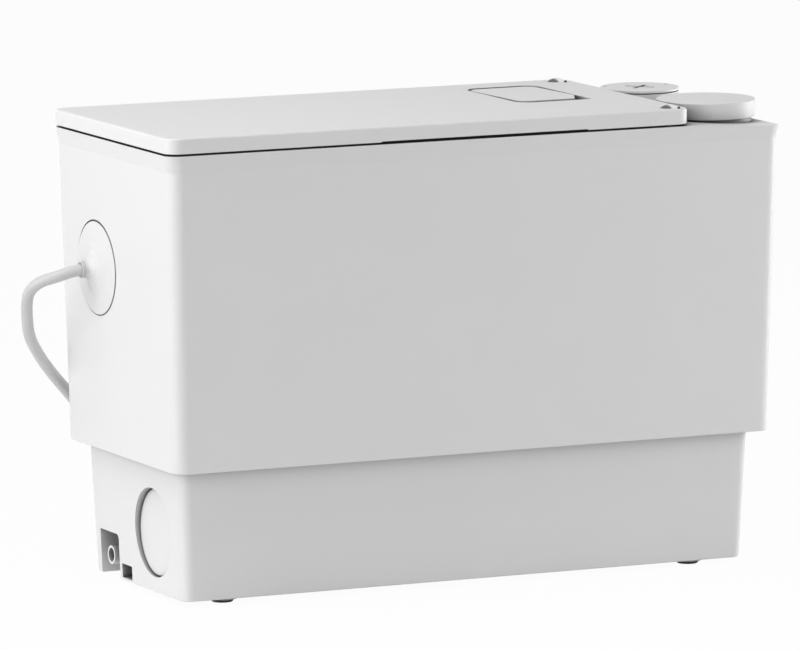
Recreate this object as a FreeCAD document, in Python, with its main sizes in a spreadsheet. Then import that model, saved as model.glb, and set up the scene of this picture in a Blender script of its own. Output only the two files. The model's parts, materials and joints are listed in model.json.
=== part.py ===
# Compact waste water lifting pump: a low tank, a taller casing that overhangs it, a lid with a filter
# cover, two round caps on a sloping deck, and the pump, motor, valve and controls inside.
# Millimetres. X runs along the long side, Y to the back, Z up. The origin is on the floor, midway
# between the sides, below the middle of the casing.
import FreeCAD
import Part
import math
import os
import re

Vector = FreeCAD.Vector
Rotation = FreeCAD.Rotation
Placement = FreeCAD.Placement

# Driving dimensions, in millimetres and degrees.
SIZES = {
    # feet and lower tank
    "foot_height": 3.05,
    "foot_radius": 6.15,
    "foot_x": 142.4,
    "foot_y": 48.7,
    "foot_seat": 1.5,
    "tank_half_length": 170.5,
    "tank_half_width": 61.2,
    "tank_draft": 2.46,
    "tank_wall": 3.2,
    "tank_corner": 6.0,
    "tank_top": 96.0,
    "neck_half_length": 173.3,
    "neck_half_width": 64.0,
    "flange_half_length": 177.8,
    "flange_half_width": 71.9,
    "flange_low": 76.55,
    "flange_thick": 3.0,
    # casing
    "casing_low": 75.75,
    "casing_half_length": 181.3,
    "casing_half_width": 75.4,
    "casing_draft": 1.318,
    "casing_corner": 8.0,
    "casing_wall": 3.0,
    "lip_low": 241.0,
    "lip_half_length": 185.1,
    "lip_half_width": 79.2,
    "lip_flare": 8.7,
    "lip_root": 4.0,
    "casing_top": 250.15,
    "deck_under": 244.0,
    "deck_slope": 2.93,
    "opening_x": -30.0,
    "opening_half_length": 144.0,
    "opening_half_width": 68.0,
    # lid
    "lid_left": 186.5,
    "lid_right": 128.8,
    "lid_half_width": 80.6,
    "lid_low": 251.25,
    "lid_top": 259.85,
    "lid_skin": 2.5,
    "lid_screw_x": 119.5,
    "lid_screw_y": 71.0,
    "grip_x": 2.6,
    "grip_length": 125.0,
    "grip_height": 0.6,
    # filter cover in the lid
    "cover_x": 77.65,
    "cover_y": 22.7,
    "cover_half_x": 22.25,
    "cover_half_y": 37.6,
    "cover_corner": 9.0,
    "cover_gap": 2.2,
    "cover_thick": 2.4,
    "cover_proud": 0.75,
    "cover_sunk": 0.3,
    # caps and ports on the deck
    "port_x": 157.5,
    "port_y": 41.0,
    "inlet_bore": 20.3,
    "inlet_neck": 23.4,
    "inlet_collar": 25.6,
    "inlet_collar_top": 250.7,
    "inlet_neck_top": 256.0,
    "inlet_cap_radius": 27.6,
    "inlet_cap_top": 259.95,
    "outlet_bore": 16.3,
    "outlet_collar": 21.9,
    "outlet_collar_top": 255.85,
    "outlet_plug_radius": 22.15,
    "outlet_plug_low": 256.5,
    "outlet_plug_top": 257.95,
    # side inlets, the same on the left and the right
    "side_y": -22.8,
    "side_z": 36.3,
    "side_recess": 24.8,
    "side_depth": 2.8,
    "side_disc": 3.0,
    "side_gap": 1.0,
    "side_inner_end": 148.0,
    # drain nozzle in its notch, and the bracket pocket
    "notch_y": 26.1,
    "notch_wide": 25.3,
    "notch_top": 27.8,
    "notch_inner": 146.0,
    "drain_y": 38.9,
    "drain_z": 14.6,
    "drain_end": 170.4,
    "drain_radius": 5.2,
    "drain_bore": 3.9,
    "pocket_y": 9.3,
    "pocket_wide": 13.6,
    "pocket_low": 4.5,
    "pocket_top": 12.3,
    "pocket_inner": 161.0,
    # cable gland and cable
    "gland_y": 25.2,
    "gland_z": 177.0,
    "gland_disc": 25.8,
    "gland_face": 183.64,
    "gland_end": 193.4,
    "gland_tip": 4.75,
    "gland_gap": 0.8,
    "gland_lift": 0.2,
    "gland_proud": 0.55,
    "cable_diameter": 6.5,
    # pump axis and its pieces
    "pump_x": -40.0,
    "pump_y": 8.0,
    "shaft_radius": 6.0,
    "impeller_radius": 30.0,
    "volute_low": 14.0,
    "volute_top": 42.0,
    "spout_z": 28.8,
    "cover_plate_thick": 4.0,
    "motor_radius": 45.0,
    "motor_low": 108.0,
    "motor_top": 200.0,
    # discharge
    "riser_x": 150.5,
    "riser_radius": 13.0,
    "pipe_wall": 2.0,
    "valve_low": 150.0,
    "valve_top": 202.0,
    "valve_radius": 21.0,
    "flap_pin_x": 163.5,
    "flap_pin_z": 158.6,
    # controls
    "bell_x": 40.0,
    "bell_y": -36.0,
    "switch_x": 88.0,
    "switch_y": -30.0,
    "capacitor_y": 35.0,
}

doc = FreeCAD.newDocument("drainage_pump")
sheet = doc.addObject("Spreadsheet::Sheet", "Sizes")
for row, (alias, size) in enumerate(SIZES.items(), 1):
    sheet.set(f"A{row}", alias)
    sheet.set(f"B{row}", str(size))
    sheet.setAlias(f"B{row}", alias)
doc.recompute()

NODES = []


def size(alias):
    """The sheet's value of one driving dimension."""
    return float(sheet.get(alias))


def formula(text):
    """A formula with each driving dimension's name led back to the sheet."""
    return re.sub(r"[a-z_]+", lambda word: "Sizes." + word[0] if word[0] in SIZES else word[0], str(text))


def node(thing):
    """Marks a finished sub-part; its label names its file."""
    NODES.append(thing)
    return thing


def place(thing, x="0", y="0", z="0", turn=None):
    """Puts a piece at a place worked out from the sheet. turn is (axis, degrees)."""
    if turn:
        thing.Placement = Placement(Vector(), Rotation(turn[0], turn[1]))
    for axis, text in (("x", x), ("y", y), ("z", z)):
        thing.setExpression(f"Placement.Base.{axis}", formula(text))
    return thing


ALONG_X = (Vector(0, 1, 0), 90)
ALONG_MINUS_X = (Vector(0, 1, 0), -90)
ALONG_Y = (Vector(1, 0, 0), -90)
SQUARE_TO_FACE = (Vector(0, 1, 0), 90 - size("casing_draft"))


def box(name, length, width, height, x="0", y="0", z="0"):
    """A box centred on x and y, with its underside at z."""
    thing = doc.addObject("Part::Box", name)
    for side, text in (("Length", length), ("Width", width), ("Height", height)):
        thing.setExpression(side, formula(text))
    return place(thing, f"({x}) - ({length}) / 2", f"({y}) - ({width}) / 2", z)


def cylinder(name, radius, height, x="0", y="0", z="0", turn=None):
    thing = doc.addObject("Part::Cylinder", name)
    thing.setExpression("Radius", formula(radius))
    thing.setExpression("Height", formula(height))
    return place(thing, x, y, z, turn)


def ball(name, radius, x, y, z):
    thing = doc.addObject("Part::Sphere", name)
    thing.setExpression("Radius", formula(radius))
    return place(thing, x, y, z)


def fuse(name, *things):
    made = doc.addObject("Part::MultiFuse", name)
    made.Shapes = list(things)
    return made


def common(name, *things):
    made = doc.addObject("Part::MultiCommon", name)
    made.Shapes = list(things)
    return made


def group(name, things):
    """Several separate solids in one node."""
    made = doc.addObject("Part::Compound", name)
    made.Links = list(things)
    return made


def cut(name, base, *tools):
    made = doc.addObject("Part::Cut", name)
    made.Base = base
    made.Tool = tools[0] if len(tools) == 1 else fuse(name + "_tools", *tools)
    return made


def new_sketch(body, role):
    sketch = body.newObject("Sketcher::SketchObject", body.Name + "_sketch")
    plane = [f for f in body.Origin.OriginFeatures if f.Role == role][0]
    sketch.AttachmentSupport = [(plane, "")]
    sketch.MapMode = "FlatFace"
    return sketch


def outline(sketch, corners):
    """A closed outline of straight sides. Each corner is a pair of formulas that holds its place."""
    import Sketcher
    count = len(corners)
    for i in range(count):
        turn = 2 * math.pi * i / count
        after = 2 * math.pi * (i + 1) / count
        start = Vector(math.cos(turn), math.sin(turn), 0)
        end = Vector(math.cos(after), math.sin(after), 0)
        sketch.addGeometry(Part.LineSegment(start, end), False)
    for i in range(count):
        sketch.addConstraint(Sketcher.Constraint("Coincident", i, 2, (i + 1) % count, 1))
    for i, corner in enumerate(corners):
        for kind, text in zip(("DistanceX", "DistanceY"), corner):
            at = sketch.addConstraint(Sketcher.Constraint(kind, -1, 1, i, 1, 1.0))
            sketch.setExpression(f"Constraints[{at}]", formula(text))


def lathe(name, profile, x="0", y="0", z="0", turn=None):
    """A turned piece: profile is a list of (radius, height) formulas round its own axis."""
    body = doc.addObject("PartDesign::Body", name)
    sketch = new_sketch(body, "XZ_Plane")
    outline(sketch, profile)
    turned = body.newObject("PartDesign::Revolution", name + "_turned")
    turned.Profile = sketch
    turned.ReferenceAxis = (sketch, ["V_Axis"])
    turned.Angle = 360
    sketch.Visibility = False
    return place(body, x, y, z, turn)


def soften(body, radius, pick):
    """Rounds the edges of a body's tip that pick accepts."""
    doc.recompute()
    tip = body.Tip
    edges = [f"Edge{i}" for i, edge in enumerate(tip.Shape.Edges, 1) if pick(edge)]
    rounded = body.newObject("PartDesign::Fillet", f"{tip.Name}_round")
    rounded.Base = (tip, edges)
    rounded.setExpression("Radius", formula(radius))
    doc.recompute()
    return body


def upright(edge):
    first, last = edge.Vertexes[0].Point, edge.Vertexes[-1].Point
    return abs(first.z - last.z) > 0.9 * edge.Length > 0


def level_at(height):
    """Picks the edges that lie level at one height of the body."""
    return lambda edge: all(abs(v.Z - height) < 1e-4 for v in edge.Vertexes)


def slab(name, half_x, half_y, height, corner, x="0", y="0", z="0", taper="0"):
    """A rounded block with its underside at z; its sides lean out by taper degrees."""
    body = doc.addObject("PartDesign::Body", name)
    sketch = new_sketch(body, "XY_Plane")
    signs = ((-1, -1), (1, -1), (1, 1), (-1, 1))
    outline(sketch, [(f"{a} * ({half_x})", f"{b} * ({half_y})") for a, b in signs])
    pad = body.newObject("PartDesign::Pad", name + "_pad")
    pad.Profile = sketch
    pad.setExpression("Length", formula(height))
    pad.setExpression("TaperAngle", formula(taper))
    sketch.Visibility = False
    soften(body, corner, upright)
    return place(body, x, y, z)


def prism(name, corners, height, z="0"):
    """A straight-sided block over an outline of (x, y) formulas."""
    body = doc.addObject("PartDesign::Body", name)
    sketch = new_sketch(body, "XY_Plane")
    outline(sketch, corners)
    pad = body.newObject("PartDesign::Pad", name + "_pad")
    pad.Profile = sketch
    pad.setExpression("Length", formula(height))
    sketch.Visibility = False
    return place(body, "0", "0", z)


def ring(name, outer, inner, height, x="0", y="0", z="0", turn=None):
    """A plain tube or washer."""
    profile = [(inner, "0"), (outer, "0"), (outer, height), (inner, height)]
    return lathe(name, profile, x, y, z, turn)


def pan_screw(name, x, y, under_head, reach, shank="2", head="3.6", head_height="2.4"):
    """A screw with a flat round head; under_head is the height of the face that it holds."""
    top = cylinder(name + "_head", head, head_height, x, y, under_head)
    rod = cylinder(name + "_rod", shank, reach, x, y, f"({under_head}) - ({reach})")
    return fuse(name, top, rod)


# Routes of pipes and cables: straight runs joined by tangent arcs.

def route_wire(points, radii):
    """A wire along straight runs, with an arc of its own radius at each inner point."""
    edges = []
    at = points[0]
    for i in range(1, len(points) - 1):
        before = (points[i - 1] - points[i]).normalize()
        after = (points[i + 1] - points[i]).normalize()
        turn = math.pi - before.getAngle(after)
        reach = radii[i - 1] * math.tan(turn / 2)
        start = points[i] + before * reach
        end = points[i] + after * reach
        inward = (before + after).normalize()
        middle = points[i] + inward * (radii[i - 1] / math.cos(turn / 2) - radii[i - 1])
        edges.append(Part.LineSegment(at, start).toShape())
        edges.append(Part.Arc(start, middle, end).toShape())
        at = end
    edges.append(Part.LineSegment(at, points[-1]).toShape())
    return Part.Wire(edges)


def swept(wire, radius):
    """A round bar of one radius along a wire."""
    start = wire.OrderedEdges[0]
    heading = start.tangentAt(start.FirstParameter)
    mouth = Part.Wire(Part.makeCircle(radius, start.valueAt(start.FirstParameter), heading))
    return wire.makePipeShell([mouth], True, False)


def shaped(name, shape):
    """A piece whose form none of the other ways fits."""
    made = doc.addObject("Part::Feature", name)
    made.Shape = shape
    made.Placement = Placement()
    return made


def pipe(name, points, radii, outer, inner=0.0):
    """A pipe, or a solid cable where inner is 0, along a route."""
    wire = route_wire([Vector(*p) for p in points], radii)
    solid = swept(wire, outer)
    if inner:
        solid = solid.cut(swept(wire, inner))
    return shaped(name, solid)


# Lower tank

tank_skin = slab("tank_skin", "tank_half_length", "tank_half_width", "casing_low - foot_height",
                 "tank_corner", z="foot_height", taper="tank_draft")
soften(tank_skin, "0.9", level_at(0))
tank_neck = slab("tank_neck", "neck_half_length", "neck_half_width", "tank_top - casing_low + 6",
                 "tank_corner", z="casing_low - 6")
tank_flange = slab("tank_flange", "flange_half_length", "flange_half_width", "flange_thick",
                   "tank_corner + 4", z="flange_low")
tank_outside = fuse("tank_outside", tank_skin, tank_neck, tank_flange)

hollow_low = slab("tank_hollow_low", "tank_half_length - tank_wall + 0.14",
                  "tank_half_width - tank_wall + 0.14", "casing_low - foot_height - tank_wall",
                  "tank_corner - 3", z="foot_height + tank_wall", taper="tank_draft")
hollow_top = slab("tank_hollow_top", "neck_half_length - tank_wall", "neck_half_width - tank_wall",
                  "tank_top - casing_low + 4", "tank_corner - 3", z="casing_low - 2")
notch_block = box("notch_block", "36", "notch_wide + 6.4", "notch_top + 0.7",
                  "-1 * notch_inner - 14.8", "notch_y + notch_wide / 2", "foot_height")
pocket_block = box("pocket_block", "22", "pocket_wide + 6.4", "pocket_top + 0.7",
                   "-1 * pocket_inner - 7.8", "pocket_y + pocket_wide / 2", "foot_height")
sockets = []
for side, turn, sign in (("left", ALONG_X, "-1"), ("right", ALONG_MINUS_X, "1")):
    pad = cylinder(f"{side}_socket_pad", "side_recess + 3.4", "14", f"{sign} * 175", "side_y",
                   "side_z", turn)
    tube = cylinder(f"{side}_socket_tube", "inlet_bore + 3", "175 - side_inner_end",
                    f"{sign} * 175", "side_y", "side_z", turn)
    sockets.append(fuse(f"{side}_socket", pad, tube))
boss_places = [(sx * bx, sy * by) for bx, by in ((163.0, 57.1), (52.0, 57.6)) for sx in (-1, 1)
               for sy in (-1, 1)]
bosses = [cylinder(f"cover_boss_{i}", "5", "tank_top - 60", str(x), str(y), "60")
          for i, (x, y) in enumerate(boss_places)]
tank_hollow = cut("tank_hollow", fuse("tank_hollow_all", hollow_low, hollow_top), notch_block,
                  pocket_block, *sockets, *bosses)
tank_shell = cut("tank_shell", tank_outside, tank_hollow)

notch_tip = cylinder("notch_round_front", "3", "40", "-1 * notch_inner - 40", "notch_y + 3",
                     "notch_top - 3", ALONG_X)
notch_lower = box("notch_lower", "40", "notch_wide", "notch_top - 3 + 1",
                  "-1 * notch_inner - 20", "notch_y + notch_wide / 2", "-1")
notch_upper = box("notch_upper", "40", "notch_wide - 3", "4",
                  "-1 * notch_inner - 20", "notch_y + notch_wide / 2 + 1.5", "notch_top - 4")
notch_gap = fuse("notch_gap", notch_tip, notch_lower, notch_upper)
pocket_gap = box("pocket_gap", "20", "pocket_wide", "pocket_top - pocket_low",
                 "-1 * pocket_inner - 10", "pocket_y + pocket_wide / 2", "pocket_low")
pocket_rib = box("pocket_rib", "3.6", "0.9", "pocket_top - pocket_low",
                 "-1 * pocket_inner - 1.7", "pocket_y + 10.2", "pocket_low")
pocket_cut = cut("pocket_cut", pocket_gap, pocket_rib)
drain_nozzle = cylinder("drain_nozzle", "drain_radius", "drain_end - notch_inner + 1",
                        "-1 * drain_end", "drain_y", "drain_z", ALONG_X)
notch_cut = cut("notch_cut", notch_gap, drain_nozzle)
drain_way = cylinder("drain_way", "drain_bore", "40", "-175", "drain_y", "drain_z", ALONG_X)
side_ways = []
for side, turn, sign in (("left", ALONG_X, "-1"), ("right", ALONG_MINUS_X, "1")):
    recess = cylinder(f"{side}_recess", "side_recess",
                      "180 - 171.92 + side_depth + side_disc + 1", f"{sign} * 180", "side_y",
                      "side_z", turn)
    bore = cylinder(f"{side}_bore", "inlet_bore", "40", f"{sign} * 180", "side_y", "side_z", turn)
    side_ways.append(fuse(f"{side}_way", recess, bore))
boss_holes = [cylinder(f"boss_hole_{i}", "2.1", "16", str(x), str(y), "tank_top - 15")
              for i, (x, y) in enumerate(boss_places)]
foot_places = [(sx, sy) for sx in (-1, 1) for sy in (-1, 1)]
foot_seats = [cylinder(f"foot_seat_{i}", "foot_radius + 0.25", "foot_seat + 2", f"{sx} * foot_x",
                       f"{sy} * foot_y", "foot_height - 2")
              for i, (sx, sy) in enumerate(foot_places)]
casing_screw_places = [(x, sy) for x in (-120.0, 0.0, 120.0) for sy in (-1, 1)]
flange_holes = []
for i, (x, sy) in enumerate(casing_screw_places):
    flange_holes.append(cylinder(f"flange_hole_{i}", "1.4", "5", str(x), f"{sy} * 69.4", "75"))
    flange_holes.append(cylinder(f"flange_sink_{i}", "2.7", "1.6", str(x), f"{sy} * 69.4",
                                 "flange_low - 0.05"))
node(cut("lower_tank", tank_shell, notch_cut, pocket_cut, drain_way, *side_ways, *boss_holes,
         *foot_seats, *flange_holes))

feet = []
for i, (sx, sy) in enumerate(foot_places):
    foot = lathe(f"foot_{i}", [("0", "0"), ("foot_radius - 0.6", "0"), ("foot_radius", "0.6"),
                               ("foot_radius", "foot_height + foot_seat"),
                               ("0", "foot_height + foot_seat")],
                 f"{sx} * foot_x", f"{sy} * foot_y", "0")
    feet.append(foot)
node(group("rubber_feet", feet))

drain_profile = [("0", "0"), ("drain_bore - 0.05", "0"), ("drain_bore - 0.05", "12"), ("1.2", "12"),
                 ("1.2", "13.5"), ("0", "13.5")]
node(lathe("drain_bung", drain_profile, "-1 * drain_end + 19", "drain_y", "drain_z", ALONG_MINUS_X))

for side, turn, sign in (("left", ALONG_X, "-1"), ("right", ALONG_MINUS_X, "1")):
    start = "171.92 - side_depth"
    profile = [("0", "0"), ("side_recess - side_gap", "0"), ("side_recess - side_gap", "side_disc"),
               ("inlet_bore - 0.25", "side_disc"), ("inlet_bore - 0.25", "side_disc + 14"),
               ("inlet_bore - 2.4", "side_disc + 14"), ("inlet_bore - 2.4", "side_disc"),
               ("0", "side_disc")]
    node(lathe(f"{side}_inlet_plug", profile, f"{sign} * ({start})", "side_y", "side_z", turn))
seals = [ring(f"side_seal_{side}", "side_recess - 0.3", "inlet_bore + 0.4", "1",
              f"{sign} * (171.92 - side_depth - side_disc)", "side_y", "side_z", turn)
         for side, turn, sign in (("left", ALONG_X, "-1"), ("right", ALONG_MINUS_X, "1"))]
node(group("side_inlet_seals", seals))

# Casing

casing_skin = slab("casing_skin", "casing_half_length", "casing_half_width", "lip_low - casing_low",
                   "casing_corner", z="casing_low", taper="casing_draft")
soften(casing_skin, "0.8", level_at(0))
casing_lip = slab("casing_lip", "lip_half_length - lip_root * tan(lip_flare * 1 deg)",
                  "lip_half_width - lip_root * tan(lip_flare * 1 deg)",
                  "casing_top - lip_low + lip_root", "casing_corner", z="lip_low - lip_root",
                  taper="lip_flare")
casing_space = slab("casing_space", "casing_half_length - casing_wall",
                    "casing_half_width - casing_wall", "deck_under - casing_low + 1",
                    "casing_corner - 2.5", z="casing_low - 1", taper="casing_draft")
casing_opening = slab("casing_opening", "opening_half_length", "opening_half_width", "12", "6",
                      "opening_x", z="deck_under - 3")
deck_wedge = doc.addObject("Part::Box", "deck_wedge")
deck_wedge.Length = 90
deck_wedge.Width = 200
deck_wedge.Height = 12
place(deck_wedge, "lid_right + 0.4", "-100", "casing_top", (Vector(0, 1, 0), size("deck_slope")))
deck_wedge.setExpression("Placement.Rotation.Angle", formula("deck_slope"))

ribs = []
rib_holes = []
for i, (x, sy) in enumerate(casing_screw_places):
    ribs.append(box(f"casing_rib_{i}", "7", "7", "13", str(x), f"{sy} * 70.5",
                    "flange_low + flange_thick + 0.35"))
    rib_holes.append(cylinder(f"casing_rib_hole_{i}", "1.35", "11", str(x), f"{sy} * 69.4",
                              "flange_low + flange_thick"))
lid_posts = []
lid_holes = []
for sy in (-1, 1):
    lid_posts.append(cylinder(f"lid_post_{sy + 1}", "4.6", "casing_top - 228", "lid_screw_x",
                              f"{sy} * lid_screw_y", "228"))
    lid_holes.append(cylinder(f"lid_post_hole_{sy + 1}", "2.4", "20", "lid_screw_x",
                              f"{sy} * lid_screw_y", "casing_top - 18"))
inlet_neck = lathe("inlet_neck_rings", [("inlet_bore - 2", "225"), ("inlet_neck", "225"),
                                        ("inlet_neck", "deck_under"), ("inlet_collar", "deck_under"),
                                        ("inlet_collar", "inlet_collar_top"),
                                        ("inlet_neck", "inlet_collar_top"),
                                        ("inlet_neck", "inlet_neck_top"),
                                        ("inlet_bore - 2", "inlet_neck_top")],
                   "port_x", "-1 * port_y")
outlet_neck = lathe("outlet_neck_rings", [("outlet_bore - 2", "226"), ("outlet_bore + 2.7", "226"),
                                          ("outlet_bore + 2.7", "deck_under"),
                                          ("outlet_collar", "deck_under"),
                                          ("outlet_collar", "outlet_collar_top"),
                                          ("outlet_bore - 2", "outlet_collar_top")],
                    "port_x", "port_y")
inlet_way = cylinder("inlet_way", "inlet_bore", "60", "port_x", "-1 * port_y", "210")
outlet_way = cylinder("outlet_way", "outlet_bore", "60", "port_x", "port_y", "210")
gland_hole = cylinder("gland_hole", "20", "20", "-1 * gland_end", "gland_y", "gland_z", SQUARE_TO_FACE)
gland_seat = cylinder("gland_seat", "gland_disc + gland_gap", "gland_end - gland_face + 1.5",
                      "-1 * gland_end", "gland_y", "gland_z + gland_lift", SQUARE_TO_FACE)

casing_body = fuse("casing_body", casing_skin, casing_lip)
casing_shell = cut("casing_shell", casing_body, casing_space, casing_opening, deck_wedge)
casing_rim = common("casing_rim_parts", fuse("casing_inside_parts", *ribs, *lid_posts), casing_body)
casing_full = fuse("casing_full", casing_shell, casing_rim, inlet_neck, outlet_neck)
node(cut("upper_casing", casing_full, inlet_way, outlet_way, gland_hole, gland_seat, *rib_holes,
         *lid_holes))

screws = []
for i, (x, sy) in enumerate(casing_screw_places):
    screws.append(lathe(f"casing_screw_{i}", [("0", "0"), ("2.5", "0"), ("2.5", "1.4"),
                                              ("1.25", "1.4"), ("1.25", "12"), ("0", "13.2")],
                        str(x), f"{sy} * 69.4", "flange_low + 0.15"))
node(group("casing_screws", screws))

gasket_body = slab("lid_gasket_outer", "opening_half_length + 8", "opening_half_width + 8",
                   "lid_low - casing_top", "8", "opening_x", z="casing_top")
gasket_space = slab("lid_gasket_inner", "opening_half_length + 2", "opening_half_width + 2",
                    "lid_low - casing_top + 2", "6", "opening_x", z="casing_top - 1")
gasket_notches = [cylinder(f"gasket_notch_{sy + 1}", "6", "4", "lid_screw_x", f"{sy} * lid_screw_y",
                           "casing_top - 1") for sy in (-1, 1)]
node(cut("lid_gasket", gasket_body, gasket_space, *gasket_notches))

# Lid, its screws, and the filter cover

lid_half = "(lid_left + lid_right) / 2"
lid_x = "(lid_right - lid_left) / 2"
lid_block = slab("lid_block", lid_half, "lid_half_width", "lid_top - lid_low", "casing_corner",
                 lid_x, z="lid_low")
soften(lid_block, "1.2", level_at(size("lid_top") - size("lid_low")))
soften(lid_block, "0.4", level_at(0))
lid_space = slab("lid_space", f"{lid_half} - lid_skin", "lid_half_width - lid_skin",
                 "lid_top - lid_low - lid_skin + 1", "casing_corner - 2.5", lid_x, z="lid_low - 1")
cover_opening = slab("cover_opening", "cover_half_x", "cover_half_y", "8", "cover_corner",
                     "cover_x", "cover_y", "lid_top - 5")
cover_corner_square = box("cover_corner_square", "12", "12", "8", "cover_x + cover_half_x - 6",
                          "cover_y - cover_half_y + 6", "lid_top - 5")
screw_pads = []
screw_ways = []
for sy in (-1, 1):
    name = f"{sy + 1}"
    screw_pads.append(cylinder("lid_screw_pad_" + name, "5.5", "lid_top - lid_low - 1",
                               "lid_screw_x", f"{sy} * lid_screw_y", "lid_low"))
    screw_ways.append(cylinder("lid_screw_way_" + name, "2.4", "14", "lid_screw_x",
                               f"{sy} * lid_screw_y", "lid_low - 2"))
    screw_ways.append(cylinder("lid_pin_hole_" + name, "0.8", "3", "lid_screw_x + 3",
                               f"{sy} * lid_screw_y - 6.2", "lid_top - 1.6"))
lid_tabs = [box(f"lid_tab_{sy + 1}", "2.5", "24", "lid_top - 1 - 240", "-172", f"{sy} * 40", "240")
            for sy in (-1, 1)]
lid_shell = cut("lid_shell", lid_block, lid_space)
lid_ribs = [box(f"lid_rib_across_{i}", "1.6", "2 * lid_half_width - 30", "4.2", x, "0",
                "lid_top - lid_skin - 4")
            for i, x in enumerate(("-150", "-110", "-70", "-30", "10", "46"))]
lid_ribs += [box(f"lid_rib_along_{i}", "196", "1.6", "4.2", "-52", y, "lid_top - lid_skin - 4")
             for i, y in enumerate(("-45", "0", "45"))]
lid_grip = box("lid_grip", "grip_length", "2 * lid_skin", "grip_height + 1", "grip_x",
               "-1 * lid_half_width", "lid_low - 1")
node(cut("lid", fuse("lid_full", lid_shell, *screw_pads, *lid_tabs, *lid_ribs), cover_opening,
         cover_corner_square, lid_grip, *screw_ways))

lid_screws = []
for sy in (-1, 1):
    name = f"{sy + 1}"
    dome = common("lid_screw_dome_" + name,
                  ball("lid_screw_ball_" + name, "9.2", "lid_screw_x", f"{sy} * lid_screw_y",
                       "lid_top + 1.9 - 9.2"),
                  cylinder("lid_screw_limit_" + name, "5.6", "4", "lid_screw_x",
                           f"{sy} * lid_screw_y", "lid_top"))
    shank = cylinder("lid_screw_shank_" + name, "2", "24", "lid_screw_x", f"{sy} * lid_screw_y",
                     "lid_top - 23.5")
    lid_screws.append(fuse("lid_screw_" + name, dome, shank))
node(group("lid_screws", lid_screws))

cover_seat = slab("cover_seat", "cover_half_x - cover_gap - 1.5", "cover_half_y - cover_gap - 1.5",
                  "cover_thick - 1", "cover_corner - cover_gap - 1", "cover_x", "cover_y",
                  "lid_top - cover_thick")
COVER_PLATE = 2.0
cover_plate_top = slab("cover_block", "cover_half_x - cover_gap", "cover_half_y - cover_gap",
                       str(COVER_PLATE), "cover_corner - cover_gap")
soften(cover_plate_top, "0.4", level_at(COVER_PLATE))
cover_lean = (size("cover_proud") + size("cover_sunk")) / (2 * (size("cover_half_y") - size("cover_gap")))
place(cover_plate_top, "cover_x", "cover_y", f"lid_top + (cover_proud - cover_sunk) / 2 - {COVER_PLATE}",
      (Vector(1, 0, 0), -math.degrees(math.asin(cover_lean))))
cover_block = fuse("cover_full", cover_seat, cover_plate_top)
cover_snip = prism("cover_snip", [("cover_x + cover_half_x - cover_gap + 0.3", "4"),
                                  ("cover_x + cover_half_x + 4", "4"),
                                  ("cover_x + cover_half_x + 4", "-20"),
                                  ("89.8", "-20"), ("89.8", "-13.4")], "8", "lid_top - 5")
node(cut("filter_cover", cover_block, cover_snip))

basket_outer = slab("basket_outer", "19.5", "34.5", "24", "6", "cover_x", "cover_y", "232")
basket_rim = slab("basket_rim", "cover_half_x + 3", "cover_half_y + 3", "2", "8", "cover_x",
                  "cover_y", "lid_top - lid_skin - 2")
basket_space = slab("basket_space", "17.7", "32.7", "30", "5", "cover_x", "cover_y", "234")
basket_snip = prism("basket_snip", [("cover_x + cover_half_x + 0.3", "5"),
                                    ("cover_x + cover_half_x + 0.3", "-15.2"),
                                    ("89.5", "-15.2")], "8", "lid_top - 8")
basket_slots = [box(f"basket_slot_{i}", "28", "3", "6", "cover_x", str(22.7 + 8.5 * (i - 3)), "230")
                for i in range(7)]
node(cut("filter_basket", fuse("basket_full", basket_outer, basket_rim), basket_space, basket_snip,
         *basket_slots))
node(slab("carbon_filter", "16.4", "31.4", "20", "4", "cover_x", "cover_y", "237.4"))

# Caps on the deck

inlet_cap = lathe("inlet_cap", [("0", "inlet_cap_top - 2.5"), ("inlet_neck + 0.4", "inlet_cap_top - 2.5"),
                                ("inlet_neck + 0.4", "inlet_collar_top"),
                                ("inlet_cap_radius", "inlet_collar_top"),
                                ("inlet_cap_radius", "inlet_cap_top"), ("0", "inlet_cap_top")],
                  "port_x", "-1 * port_y")
soften(inlet_cap, "0.5", level_at(size("inlet_cap_top")))
node(inlet_cap)
node(lathe("inlet_lip_seal", [("inlet_bore - 0.6", "inlet_neck_top"),
                              ("inlet_neck - 0.5", "inlet_neck_top"),
                              ("inlet_neck - 0.5", "inlet_neck_top + 0.8"),
                              ("inlet_bore - 1.8", "inlet_neck_top + 0.8")],
           "port_x", "-1 * port_y"))

plug_turned = lathe("outlet_plug_turned", [("0", "outlet_plug_low"), ("outlet_bore - 2.3", "outlet_plug_low"),
                                           ("outlet_bore - 2.3", "240"), ("outlet_bore - 0.1", "240"),
                                           ("outlet_bore - 0.1", "outlet_plug_low"),
                                           ("outlet_plug_radius", "outlet_plug_low"),
                                           ("outlet_plug_radius", "outlet_plug_top"),
                                           ("0", "outlet_plug_top")], "port_x", "port_y")
soften(plug_turned, "0.4", level_at(size("outlet_plug_top")))
SLOT_LENGTH = 17.5
SLOT_WIDTH = 2.4
slots = []
for i, angle in enumerate((41, 131)):
    slot = doc.addObject("Part::Box", f"plug_slot_{i}")
    slot.Length = SLOT_LENGTH
    slot.Width = SLOT_WIDTH
    slot.Height = 3
    spin = Rotation(Vector(0, 0, 1), angle)
    slot.Placement = Placement(Vector(), spin)
    reach = spin.multVec(Vector(-SLOT_LENGTH / 2, -SLOT_WIDTH / 2, 0))
    slots.append(place(slot, f"port_x + {reach.x:.4f}", f"port_y + {reach.y:.4f}",
                       "outlet_plug_top - 1.4", (Vector(0, 0, 1), angle)))
marks = [cylinder(f"plug_mark_{i}", "1.1", "2", f"port_x + {19.6 * math.cos(math.radians(a)):.4f}",
                  f"port_y + {19.6 * math.sin(math.radians(a)):.4f}", "outlet_plug_top - 0.4")
         for i, a in enumerate((14, 146))]
node(cut("outlet_plug", plug_turned, *slots, *marks))
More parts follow.
